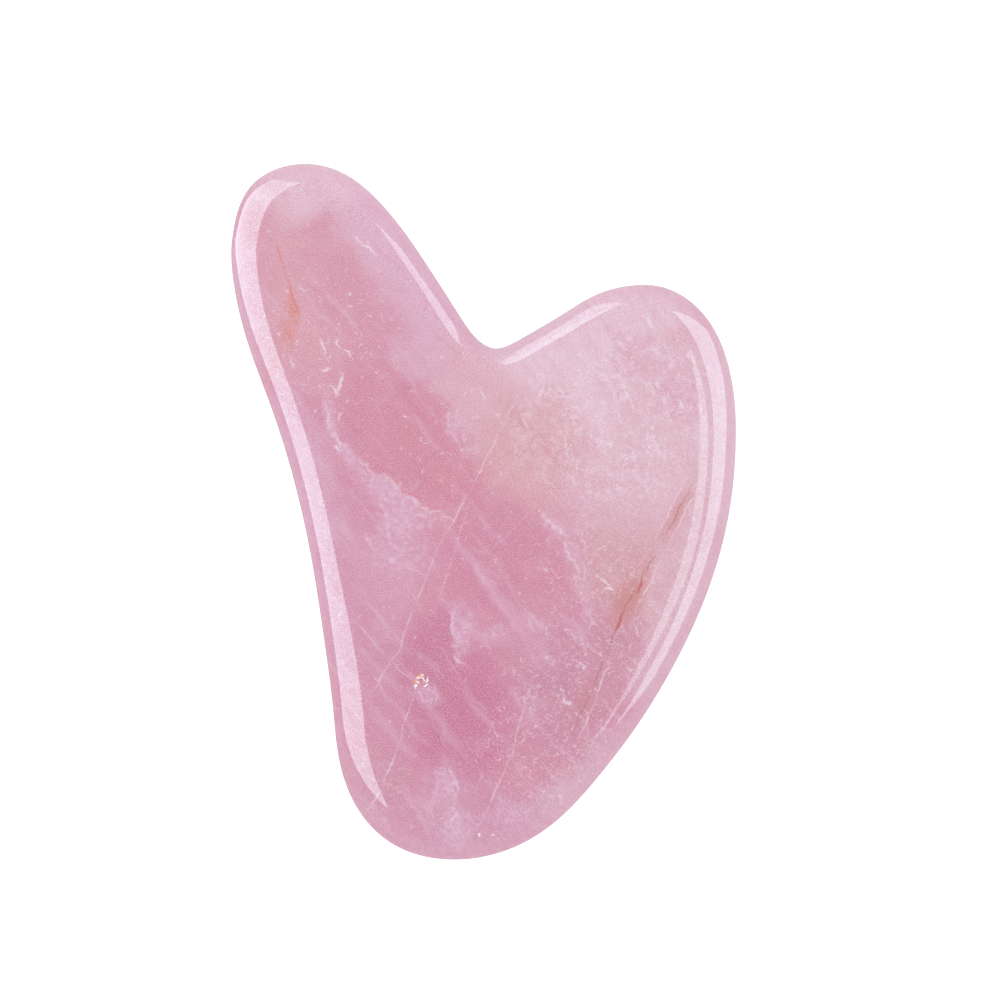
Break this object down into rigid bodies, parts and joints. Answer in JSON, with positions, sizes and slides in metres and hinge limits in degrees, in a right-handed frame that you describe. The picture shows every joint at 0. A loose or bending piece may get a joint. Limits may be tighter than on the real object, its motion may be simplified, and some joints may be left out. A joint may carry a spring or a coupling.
{
  "type": "gua sha scraper",
  "caption": "Heart-and-horn shaped scraping stone for massage: one flat plate of polished rose quartz with a notch and a rounded edge.",
  "frame": {"origin": "under the middle of the stone's box, on its lower flat face", "axes": "+X from the horn's side to the lobe's side, +Y along the stone's length towards the horn's tip, +Z out of the upper flat face"},
  "size_m": [0.058, 0.08, 0.0065],
  "materials": {
    "rose_quartz": "polished"
  },
  "bodies": {
    "root": {"stone_body": "rose_quartz"}
  },
  "joints": []
}
